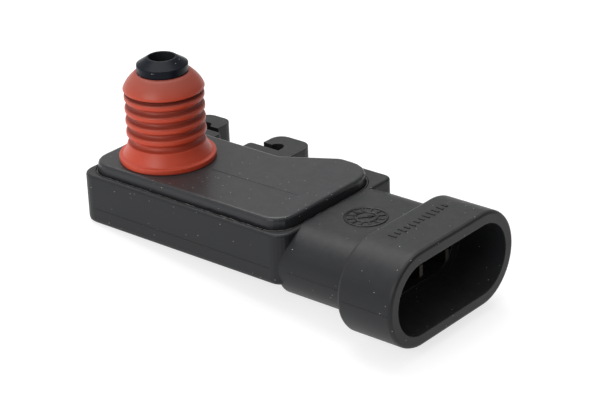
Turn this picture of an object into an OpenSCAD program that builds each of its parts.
// Air pressure sensor for an engine's intake: a moulded tray with a three-blade
// connector, a bonded cover that carries the pressure nozzle, and a bellows seal.
// The port's axis stands on the origin, +X points out of the connector, +Z up the port.

/* [Housing] */
// Length of the tray, without the connector
body_l = 41.5; // [40:0.5:50]
// Width of the tray at its closed end
body_w = 22.8; // [21.5:0.1:28]
// Height of the tray from its underside to the rim
body_h = 8.4; // [8:0.1:11]
// Distance from the port's axis to the closed end
port_inset = 10.3; // [10:0.1:12]
// Distance from the port's axis to the front wall
port_front = 9.6; // [9.4:0.1:11]
// How much wider the tray is at the connector end
shoulder_w = 4.2; // [2.5:0.1:6]
// Length of the wide part of the tray
shoulder_l = 10.5; // [8:0.5:12]
// Length of the slope between the narrow and the wide part
slope_l = 7.3; // [5:0.1:9]
// Thickness of the tray's floor
floor_t = 1.6; // [1.2:0.1:2.2]
// Radius of the tray's upright corners
corner_r = 2.4; // [1.5:0.1:3]
// Rounding of the rim's outer edge
rim_round = 0.45; // [0.2:0.05:0.6]
// Rounding of the edge round the underside
foot_round = 0.8; // [0.4:0.1:1.2]

/* [Cover] */
// Width of the ledge round the cover at the front and both ends
cover_margin = 1.1; // [0.9:0.05:1.6]
// Width of the ledge behind the narrow part of the cover
back_margin = 2.9; // [2:0.1:3.4]
// Width of the ledge behind the wide part of the cover
wide_margin = 2.2; // [1.4:0.1:2.8]
// How far the cover stands above the rim
cover_rise = 1.8; // [1.2:0.1:2.6]
// How deep the cover reaches below the rim
cover_drop = 1.5; // [1:0.1:2]
// Thickness of the cover's top
cover_t = 1.8; // [1.4:0.1:2.2]
// Radius of the cover's upright corners
cover_r = 3.5; // [2.5:0.1:4]
// Radius of the cover's corner at the wide end
cover_far_r = 5; // [4:0.1:6]
// Rounding of the cover's top edge
cover_round = 0.6; // [0.3:0.05:0.9]
// Width of the glue groove between the cover and the rim
groove_w = 0.5; // [0.3:0.05:0.6]
// How far the glue stays below the rim
glue_gap = 0.2; // [0.1:0.05:0.5]
// Width of the step that the cover sits on
seat_w = 1; // [0.6:0.1:1.4]

/* [Port] */
// Radius of the nozzle's stem
stem_r = 3.4; // [3.2:0.05:3.7]
// Radius of the nozzle's head, which holds the seal on
head_r = 4.05; // [3.95:0.05:4.4]
// Height of the head's upright band
head_band = 1.25; // [0.8:0.05:1.8]
// Height of the head's cone
head_cone = 1.1; // [0.8:0.1:1.6]
// Radius of the pressure passage at the tip
bore_r = 2.1; // [1.8:0.05:2.2]
// Depth of the wide part of the passage
bore_l = 9; // [6:0.5:11]
// Radius of the narrow part of the passage
throat_r = 1.1; // [0.8:0.05:1.4]

/* [Seal] */
// Radius of the sealing ribs
rib_r = 6.3; // [6:0.05:6.8]
// Radius at the bottom of the grooves between the ribs
root_r = 5.35; // [5:0.05:5.6]
// Number of ribs between the skirt and the cap
rib_n = 4; // [3:1:5]
// Distance from one rib to the next
rib_pitch = 1.95; // [1.8:0.05:2.3]
// Thickness of a rib
rib_h = 1.35; // [1.1:0.05:1.5]
// Radius of the skirt that lies on the cover
skirt_r = 7.65; // [7.2:0.05:8.2]
// Height of the skirt's upright lip
lip_h = 0.9; // [0.6:0.1:1.2]
// Height of the skirt up to the first groove
skirt_h = 3; // [2.6:0.1:3.4]
// Height of the domed cap above the last groove
cap_h = 2.85; // [2.4:0.05:3.4]
// Widest radius of the cap
cap_r = 6.35; // [6.1:0.05:6.8]
// Radius where the cap ends against the head
cap_top_r = 4.35; // [4.3:0.05:4.6]
// Gap between the seal and the stem
seal_gap = 0.05; // [0.02:0.01:0.1]

/* [Connector] */
// How far the connector's centre line lies in front of the end wall's middle
conn_shift = 0.4; // [0:0.1:0.8]
// Height of the connector's centre line
conn_z = 2.7; // [2.4:0.1:3.4]
// Half height of the neck
neck_h = 5.7; // [5.5:0.1:6]
// Half width of the flat part of the neck
neck_flat = 7.05; // [6.8:0.05:7.2]
// Length of the neck
neck_l = 11.8; // [10:0.2:14]
// Wall of the neck
neck_wall = 1.45; // [1.1:0.05:1.6]
// Half height of the shroud
shroud_h = 7.6; // [7.3:0.1:8.2]
// Half width of the flat part of the shroud
shroud_flat = 7.6; // [7.4:0.05:8]
// Length of the shroud
shroud_l = 9.75; // [8.6:0.05:12]
// Wall of the shroud
shroud_wall = 1.9; // [1.6:0.05:2.1]
// Depth of the wide mouth
mouth_l = 8.4; // [7.4:0.1:8.5]
// Depth of the narrow part of the socket, behind the mouth
socket_l = 8.9; // [7.5:0.1:9.5]
// Rounding of the shroud's outer edges
shroud_round = 0.5; // [0.3:0.05:0.8]
// Height of the locking ramp under the shroud
ramp_h = 1.1; // [0.8:0.1:1.4]
// Width of the locking ramp
ramp_w = 6; // [4:0.5:8]

/* [Terminals] */
// Distance between the blades
blade_pitch = 6.5; // [6.2:0.1:7]
// Height of a blade
blade_h = 2.8; // [2.2:0.1:3]
// Thickness of the terminal metal
metal_t = 0.8; // [0.6:0.05:0.9]
// How far the blades end inside the mouth
blade_inset = 5.9; // [5:0.1:7]
// Distance between the pads at the inner ends
pad_pitch = 4.2; // [3.8:0.1:4.6]
// Width of a pad
pad_w = 2.2; // [1.8:0.1:2.6]
// Length of a pad
pad_l = 3; // [2.4:0.1:3.4]

/* [Hooks] */
// Height of the hooks
hook_t = 4.6; // [3:0.1:6]
// How far the hooks reach out from the tray
hook_reach = 6.8; // [6:0.1:8]
// Length of the hook at the closed end
end_hook_l = 6.3; // [5.8:0.1:6.8]
// Length of the hook by the shoulder
shoulder_hook_l = 7.3; // [6.6:0.1:8]
// Width of the slot behind each hook
slot_w = 1.2; // [0.8:0.05:1.3]
// Distance from the tray to the slots
slot_out = 1.7; // [1.2:0.1:2.2]

/* [Electronics] */
// Gap between the board and the closed end of the pocket
board_end_gap = 1.8; // [1.4:0.1:3]
// Gap between the board and the long walls of the pocket
board_side_gap = 0.8; // [0.8:0.1:1.5]
// Gap between the board and the shelf, which the straps cross
board_shelf_gap = 2.4; // [2:0.1:4]
// Thickness of the ceramic board
board_t = 0.8; // [0.6:0.1:1]
// Thickness of the glue under the board
bond_t = 0.15; // [0.1:0.05:0.25]
// Side of the pressure die
die_w = 2.4; // [2:0.1:2.6]
// Thickness of the pressure die
die_t = 0.45; // [0.35:0.05:0.6]
// Thickness of the glass under the die
glass_t = 1.3; // [1:0.1:1.5]
// Inner radius of the dam round the die
dam_r = 3.2; // [3:0.1:3.6]
// Height of the dam
dam_h = 3; // [2.8:0.1:3.4]
// Wall of the dam
dam_wall = 0.9; // [0.6:0.1:1.2]
// Side of the signal chip
chip_w = 4.4; // [3.8:0.2:5]
// Distance between the small parts in a row
small_pitch = 2.6; // [2.4:0.1:3]

/* [Hidden] */
$fn = 64;
eps = 0.01;
arc_n = 6;
black = "#2b2c2f";
metal = "#c9b27a";

x_left = -port_inset;
x_end = body_l - port_inset;
y_front = -port_front;
y_back = body_w - port_front;
y_wide = y_back + shoulder_w;

// Plan of the tray: corners anticlockwise from the front left, with their radii
plan = [[x_left, y_front], [x_end, y_front], [x_end, y_wide],
        [x_end - shoulder_l, y_wide], [x_end - shoulder_l - slope_l, y_back], [x_left, y_back]];
far_r = 1.3;
bend_r = 1.5;
plan_r = [corner_r, corner_r, far_r, bend_r, bend_r, corner_r];

// Plan of the cover, set in from the tray by the ledge
cover_plan = shifted(plan, [cover_margin, cover_margin, wide_margin, back_margin,
                            back_margin, cover_margin]);
cover_bend_r = 2.5;
cover_rr = [cover_r, cover_r, cover_far_r, cover_bend_r, cover_bend_r, cover_r];

seat_z = body_h - cover_drop;
cover_top = body_h + cover_rise;
pocket_wall = 1.9;

// Hooks: how deep they root in the tray, how far they stay inside its faces, and their slots
hook_root = 1;
hook_step = 0.1;
hook_foot_r = 0.2;
hook_side_r = 2.3;
hook_tip_r = 2;
hook_slot_l = 4.1;
slot_pocket = 0.9;
tab_l = 1.8;
tab_r = 0.6;
end_hook_x = x_left + hook_step;
end_hook_root = min(corner_r, back_margin - groove_w) - 2 * hook_step;
shoulder_hook_x = x_end - shoulder_l - slope_l - 2 * hook_step;

// Levels of the seal and the nozzle
rib_z = cover_top + skirt_h + 0.8;
cap_z = rib_z + rib_n * rib_pitch;
head_z = cap_z + cap_h;
tip_z = head_z + head_band + head_cone;
tip_land = 0.25;

// Connector
neck_root = 1.3;
conn_y = (y_front + y_wide) / 2 - conn_shift;
shroud_x = x_end + neck_l;
mouth_x = shroud_x + shroud_l;
ledge_x = mouth_x - mouth_l;
socket_x = ledge_x - socket_l;
socket_h = neck_h - neck_wall;
key_w = 1.2;
key_h = 0.7;
key_y = 3.8;
key_back = 1;
ramp_l = 4.5;
ramp_lead = 0.8;
ramp_back = 2.5;

// Tray and shelf for the terminal pads
tray_plan = shifted(cover_plan, [for (i = [0 : 5]) seat_w]);
tray_x1 = x_end - cover_margin - seat_w;
shelf_l = pad_l + 0.2;
shelf_z = floor_t + 1;
pad_z = shelf_z + metal_t;
blade_drop = 0.4;
blade_tip = 0.5;
blade_x1 = mouth_x - blade_inset;
cross_x0 = tray_x1 + 1.2;
cross_l = 2;
blade_x0 = cross_x0 + cross_l / 2;

// Board: it keeps its gaps to the pocket's walls and to the shelf
board_x0 = x_left + cover_margin + seat_w + board_end_gap;
board_x1 = tray_x1 - shelf_l - board_shelf_gap;
board_y0 = y_front + cover_margin + seat_w + board_side_gap;
board_y1 = y_back - back_margin - seat_w - board_side_gap;
board_mid = (board_y0 + board_y1) / 2;
board_z = floor_t + bond_t;
top_z = board_z + board_t;
bond_edge = 1;

// Landing pads on the board, and the straps from them to the terminals' pads
land_l = 1.6;
land_w = 1.2;
land_t = 0.2;
land_edge = 0.5;
land_pitch = 3.6;
land_x = board_x1 - land_edge - land_l;
strap_foot = 0.6;
strap_rise = 0.9;
strap_t = 0.25;
strap_w = 0.5;
strap_x0 = land_x + land_l / 2 + strap_foot / 2;
strap_x1 = tray_x1 - pad_l + strap_foot + 0.2;

// Wires from the die to the board, and the gel round them
wire_t = 0.1;
wire_foot = 0.25;
wire_rise = 0.8;
wire_in = 0.4;
wire_out = 1.1;
wire_y = 0.6;
gel_gap = 0.05;
gel_low = 0.4;

// Chip half way between the dam and the landing pads, with a row of parts on each side
chip_x = (dam_r + dam_wall + land_x) / 2;
chip_h = 1.4;
chip_lift = 0.1;
chip_base = top_z + chip_lift;
leg_n = 4;
leg_pitch = 1;
leg_t = 0.15;
leg_w = 0.4;
leg_out = 0.9;
row_edge = 1.2;
capacitor = [1.6, 0.8, 0.8];
resistor = [2, 1.25, 0.5];

function unit(v) = v / norm(v);
function inward(a, b) = let (u = unit(b - a)) [-u.y, u.x];
function at(list, i) = list[(i + len(list)) % len(list)];

// Corners after each edge has moved inwards by its own distance
function shifted(c, d) = [for (i = [0 : len(c) - 1])
    let (n1 = inward(at(c, i - 1), c[i]), n2 = inward(c[i], at(c, i + 1)), k = n1 * n2,
         d1 = at(d, i - 1), d2 = d[i])
    c[i] + ((d1 - k * d2) * n1 + (d2 - k * d1) * n2) / (1 - k * k)];

function turns_left(c, i) = cross(c[i] - at(c, i - 1), at(c, i + 1) - c[i]) > 0;

// Rounds one corner with an arc
function rounded_corner(a, b, e, r) =
    let (u = unit(a - b), v = unit(e - b), half = acos(u * v) / 2,
         m = b + unit(u + v) * r / sin(half), p = b + u * r / tan(half) - m,
         q = b + v * r / tan(half) - m, a0 = atan2(p.y, p.x), w = atan2(cross(p, q), p * q))
    [for (i = [0 : arc_n]) m + r * [cos(a0 + w * i / arc_n), sin(a0 + w * i / arc_n)]];

function outline(c, r) = [for (i = [0 : len(c) - 1])
    each rounded_corner(at(c, i - 1), c[i], at(c, i + 1), r[i])];

// The same outline moved inwards all round by s
function inset(c, r, s) = outline(shifted(c, [for (p = c) s]),
    [for (i = [0 : len(c) - 1]) turns_left(c, i) ? max(r[i] - s, 0.4) : r[i] + s]);

// Solid through outlines that share a point count, each at its own height. Its two ends are
// fans of triangles from a corner that sees all the others, because the outline bends inwards.
module loft(rings, heights) {
    n = len(rings[0]);
    top = (len(rings) - 1) * n;
    hub = arc_n + 1;
    points = [for (k = [0 : len(rings) - 1]) for (p = rings[k]) [p.x, p.y, heights[k]]];
    sides = [for (k = [0 : len(rings) - 2]) for (i = [0 : n - 1])
        [k * n + i, (k + 1) * n + i, (k + 1) * n + (i + 1) % n, k * n + (i + 1) % n]];
    fan = [for (i = [1 : n - 2]) [hub, (hub + i) % n, (hub + i + 1) % n]];
    polyhedron(points, concat(sides, fan, [for (f = fan) [top + f[0], top + f[2], top + f[1]]]));
}

// Steps round an edge, as [distance inwards, height]: first a lower edge, then an upper one
round_steps = [0, 30, 60, 90];
function lower_edge(r, z) = [for (a = round_steps) [r * (1 - sin(a)), z + r * (1 - cos(a))]];
function upper_edge(r, z) = [for (a = round_steps) [r * (1 - cos(a)), z - r * (1 - sin(a))]];

// Racetrack section along X: two half turns of the profile and a straight middle.
// The profile's points are [distance from the centre plane, x].
module racetrack(flat, profile) {
    translate([0, conn_y, conn_z])
        rotate([0, 90, 0]) {
            for (s = [0, 1])
                rotate([0, 0, 180 * s])
                    translate([0, flat, 0])
                        rotate_extrude(angle = 180)
                            polygon(profile);
            for (s = [0, 1])
                mirror([s, 0, 0])
                    rotate([90, 0, 0])
                        linear_extrude(2 * flat, center = true)
                            polygon(profile);
        }
}

function bar(h, x0, x1) = [[0, x0], [h, x0], [h, x1], [0, x1]];

function shroud_profile() = let (h = shroud_h, r = shroud_round) concat(
    [[0, shroud_x]],
    [for (t = [-90, -45, 0]) [h - r + r * cos(t), shroud_x + r + r * sin(t)]],
    [for (t = [0, 45, 90]) [h - r + r * cos(t), mouth_x - r + r * sin(t)]],
    [[0, mouth_x]]);

// Hook in plan: a finger that runs from its outer side to its tip, a slot behind the finger,
// and a tab that carries the slot's inner wall on past the tip
module hook(side, tip, root) {
    w = abs(side - tip);
    slot_y = y_back + slot_out;
    tip_y = y_back + hook_reach;
    finger = [[0, y_back - root], [w, y_back - root], [w, tip_y], [0, tip_y]];
    tab = [[-tab_l, y_back - hook_root], [tab_l, y_back - hook_root], [tab_l, slot_y], [-tab_l, slot_y]];
    translate([tip, 0])
        mirror([side > tip ? 0 : 1, 0])
            difference() {
                union() {
                    polygon(outline(finger, [hook_foot_r, hook_foot_r, hook_side_r, hook_tip_r]));
                    polygon(outline(tab, [hook_foot_r, hook_foot_r, hook_foot_r, tab_r]));
                }
                translate([-tab_l - 1, slot_y])
                    square([hook_slot_l + tab_l + 1, slot_w]);
                translate([hook_slot_l - slot_w, slot_y + slot_w])
                    circle(slot_w * slot_pocket);
            }
}

// The two hooks face each other, so that one clip slides into both
module hooks() {
    translate([0, 0, body_h - hook_step - hook_t])
        linear_extrude(hook_t) {
            hook(end_hook_x, end_hook_x + end_hook_l, end_hook_root);
            hook(shoulder_hook_x, shoulder_hook_x - shoulder_hook_l, hook_root);
        }
}

// Stamped terminal: upright blade outside, flat pad inside, joined in the wall
module terminal(k) {
    y_blade = conn_y + k * blade_pitch;
    y_pad = conn_y + k * pad_pitch;
    z0 = conn_z - blade_drop - blade_h / 2;
    z1 = z0 + blade_h;
    color(metal) {
        translate([0, y_blade + metal_t / 2, 0])
            rotate([90, 0, 0])
                linear_extrude(metal_t)
                    polygon([[blade_x0, z0], [blade_x1 - blade_tip, z0], [blade_x1, z0 + blade_tip],
                             [blade_x1, z1 - blade_tip], [blade_x1 - blade_tip, z1], [blade_x0, z1]]);
        translate([cross_x0, min(y_blade, y_pad) - pad_w / 2, shelf_z])
            cube([cross_l, abs(y_blade - y_pad) + pad_w, metal_t]);
        translate([tray_x1 - pad_l, y_pad - pad_w / 2, shelf_z])
            cube([cross_x0 - tray_x1 + pad_l + eps, pad_w, metal_t]);
    }
}

module terminals() {
    for (k = [-1, 0, 1])
        terminal(k);
}

// Neck, shroud and socket. The neck's root in the end wall stays clear of the glue groove.
module connector() {
    difference() {
        union() {
            racetrack(neck_flat, bar(neck_h, x_end - neck_root, shroud_x + shroud_round + 0.5));
            racetrack(shroud_flat, shroud_profile());
            translate([mouth_x - ramp_back, conn_y + ramp_w / 2, conn_z - shroud_h])
                rotate([90, 0, 0])
                    linear_extrude(ramp_w)
                        polygon([[-ramp_l, 0.5], [-ramp_l, -ramp_h], [ramp_lead - ramp_l, -ramp_h],
                                 [0, 0.5]]);
        }
        racetrack(shroud_flat, bar(shroud_h - shroud_wall, ledge_x, mouth_x + 1));
        racetrack(neck_flat, bar(socket_h, socket_x, ledge_x + 1));
        translate([x_end - neck_root - 1, y_front, seat_z])
            cube([neck_root + 1 - (cover_margin - groove_w) / 2, y_wide - y_front, cover_drop + 1]);
    }
    translate([ledge_x - eps, conn_y + key_y - key_w / 2, conn_z + shroud_h - shroud_wall - key_h])
        cube([mouth_l - key_back, key_w, key_h + 0.5]);
}

// Tray with its walls: up the outside, over the rim, down to the cover's seat and to the floor
module tray() {
    outside = concat(lower_edge(foot_round, 0), upper_edge(rim_round, body_h));
    recess = inset(cover_plan, cover_rr, -groove_w);
    pocket = outline(tray_plan, cover_rr);
    loft(concat([for (s = outside) inset(plan, plan_r, s[0])], [recess, recess, pocket, pocket]),
         concat([for (s = outside) s[1]], [body_h, seat_z, seat_z, floor_t]));
}

// Shelf for the terminals' pads, rooted in the floor and three walls of the pocket
module shelf() {
    root = seat_w / 2;
    translate([tray_x1 - shelf_l, tray_plan[0].y - root, floor_t - root])
        cube([shelf_l + root, tray_plan[2].y - tray_plan[0].y + 2 * root, shelf_z - floor_t + root]);
}

module housing() {
    color(black)
        difference() {
            union() {
                tray();
                shelf();
                hooks();
                connector();
            }
            terminals();
        }
}

module port_cover() {
    outside = upper_edge(cover_round, cover_top);
    hollow = inset(cover_plan, cover_rr, pocket_wall);
    color(black)
        difference() {
            union() {
                loft(concat([hollow, hollow, outline(cover_plan, cover_rr)],
                            [for (s = outside) inset(cover_plan, cover_rr, s[0])]),
                     concat([cover_top - cover_t, seat_z, seat_z], [for (s = outside) s[1]]));
                rotate_extrude()
                    polygon([[0, cover_top - 1], [stem_r, cover_top - 1], [stem_r, head_z],
                             [head_r, head_z], [head_r, head_z + head_band],
                             [bore_r + tip_land, tip_z], [0, tip_z]]);
            }
            translate([0, 0, tip_z - bore_l])
                cylinder(h = bore_l + 1, r = bore_r);
            translate([0, 0, seat_z])
                cylinder(h = tip_z - seat_z, r = throat_r);
        }
}

module cover_bond() {
    color("#17181a")
        translate([0, 0, seat_z])
            linear_extrude(cover_drop - glue_gap)
                difference() {
                    polygon(inset(cover_plan, cover_rr, -groove_w));
                    polygon(outline(cover_plan, cover_rr));
                }
}

// One rib of the seal in section, with its outer edge rounded
function rib_section(z) = let (e = rib_h * 0.28) concat([[root_r, z]],
    [for (t = [-90, -45, 0]) [rib_r - e + e * cos(t), z + e + e * sin(t)]],
    [for (t = [0, 45, 90]) [rib_r - e + e * cos(t), z + rib_h - e + e * sin(t)]],
    [[root_r, z + rib_h]]);

// Domed cap of the seal in section, from the last groove up to the nozzle's head
function cap_section() = let (e = 0.3, n = 6, bulge = 0.25) concat([[root_r, cap_z]],
    [for (t = [-90, -45, 0]) [cap_r - e + e * cos(t), cap_z + e + e * sin(t)]],
    [for (i = [1 : n - 1]) let (s = i / n)
        [cap_r + (cap_top_r - cap_r) * s + bulge * 4 * s * (1 - s),
         cap_z + e + (cap_h - e) * s]],
    [[cap_top_r, head_z]]);

// Skirt of the seal in section, from the cover up to the first groove
function skirt_section() = let (e = 0.3) concat([[skirt_r - 0.1, cover_top]],
    [[skirt_r, cover_top + 0.15]],
    [for (t = [0, 45, 90]) [skirt_r - e + e * cos(t), cover_top + lip_h - e + e * sin(t)]],
    [[skirt_r - 0.65, cover_top + lip_h + 0.2],
     [rib_r - 0.15, cover_top + skirt_h - 0.25], [rib_r - 0.4, cover_top + skirt_h],
     [root_r, cover_top + skirt_h]]);

module port_seal() {
    inner = stem_r + seal_gap;
    color("#b9563f")
        rotate_extrude($fn = 96)
            polygon(concat([[inner, cover_top]], skirt_section(),
                [for (k = [0 : rib_n - 1]) each rib_section(rib_z + k * rib_pitch)],
                cap_section(), [[inner, head_z]]));
}

module board_bond() {
    color("#8d8f8c")
        translate([board_x0 + bond_edge, board_y0 + bond_edge, floor_t])
            cube([board_x1 - board_x0 - 2 * bond_edge, board_y1 - board_y0 - 2 * bond_edge, bond_t]);
}

module circuit_board() {
    color("#e9e6dc")
        translate([board_x0, board_y0, board_z])
            cube([board_x1 - board_x0, board_y1 - board_y0, board_t]);
}

module landing_pads() {
    color("silver")
        for (k = [-1, 0, 1])
            translate([land_x, board_mid + k * land_pitch - land_w / 2, top_z])
                cube([land_l, land_w, land_t]);
}

// Bent metal strap in section: a foot at each end and an arch between them
function strap_section(a, b, foot, rise, t) = let (n = 8,
    way = concat([[a.x - foot, a.y]],
                 [for (i = [0 : n]) let (s = i / n) a + (b - a) * s + [0, rise * 4 * s * (1 - s)]],
                 [[b.x + foot, b.y]]))
    concat(way, [for (i = [len(way) - 1 : -1 : 0]) way[i] + [0, t]]);

module strap(a, b, foot, rise, t, w) {
    translate([0, w / 2, 0])
        rotate([90, 0, 0])
            linear_extrude(w)
                polygon(strap_section(a, b, foot, rise, t));
}

// Each strap runs straight from its landing pad to its terminal's pad, seen from above
module lead_straps() {
    color("silver")
        for (k = [-1, 0, 1]) {
            from_y = board_mid + k * land_pitch;
            step = [strap_x1 - strap_x0, conn_y + k * pad_pitch - from_y];
            translate([strap_x0, from_y, 0])
                rotate([0, 0, atan2(step.y, step.x)])
                    strap([0, top_z + land_t], [norm(step), pad_z], strap_foot, strap_rise,
                          strap_t, strap_w);
        }
}

module die_glass() {
    color("#cfe3e6")
        translate([-die_w / 2, -die_w / 2, top_z])
            cube([die_w, die_w, glass_t]);
}

module pressure_die() {
    color("#6a6f7d")
        translate([-die_w / 2, -die_w / 2, top_z + glass_t])
            cube([die_w, die_w, die_t]);
}

module die_wires() {
    color("gold")
        for (s = [0, 1])
            mirror([s, 0, 0])
                for (y = [-wire_y, wire_y])
                    translate([0, y, 0])
                        strap([die_w / 2 - wire_in, top_z + glass_t + die_t],
                              [die_w / 2 + wire_out, top_z], wire_foot, wire_rise, wire_t, wire_t);
}

module gel_dam() {
    color("#3c3d40")
        translate([0, 0, top_z])
            difference() {
                cylinder(h = dam_h, r = dam_r + dam_wall);
                translate([0, 0, -1])
                    cylinder(h = dam_h + 2, r = dam_r);
            }
}

module die_gel() {
    color("#d9dfe2")
        difference() {
            translate([0, 0, top_z])
                cylinder(h = dam_h - gel_low, r = dam_r - gel_gap);
            die_glass();
            pressure_die();
            die_wires();
        }
}

module signal_chip() {
    color("#26272a")
        translate([chip_x - chip_w / 2, board_mid - chip_w / 2, chip_base])
            cube([chip_w, chip_w, chip_h]);
}

// Gull-wing leg in section: foot on the board, riser, and tongue to the chip's side
function leg_section() = let (h = chip_lift + chip_h / 2, m = leg_out / 2)
    [[0, h], [m - leg_t / 2, h], [m, 0], [leg_out, 0], [leg_out, leg_t],
     [m + leg_t, leg_t], [m + leg_t / 2, h + leg_t], [0, h + leg_t]];

module chip_legs() {
    color("silver")
        for (s = [0, 1], i = [0 : leg_n - 1])
            translate([chip_x + (i - (leg_n - 1) / 2) * leg_pitch - leg_w / 2, board_mid, top_z])
                mirror([0, s, 0])
                    translate([0, chip_w / 2, 0])
                        rotate([90, 0, 90])
                            linear_extrude(leg_w)
                                polygon(leg_section());
}

module filter_capacitors() {
    color("#b08c5a")
        for (k = [-1, 0, 1])
            translate([chip_x + k * small_pitch - capacitor.x / 2, board_y0 + row_edge, top_z])
                cube(capacitor);
}

module filter_resistors() {
    color("#3a3f45")
        for (k = [-0.5, 0.5])
            translate([chip_x + k * small_pitch - resistor.x / 2,
                       board_y1 - row_edge - resistor.y, top_z])
                cube(resistor);
}

housing();
port_cover();
cover_bond();
port_seal();
terminal(-1);  // terminal_supply
terminal(0);  // terminal_signal
terminal(1);  // terminal_ground
circuit_board();
board_bond();
landing_pads();
lead_straps();
die_glass();
pressure_die();
die_wires();
gel_dam();
die_gel();
signal_chip();
chip_legs();
filter_capacitors();
filter_resistors();
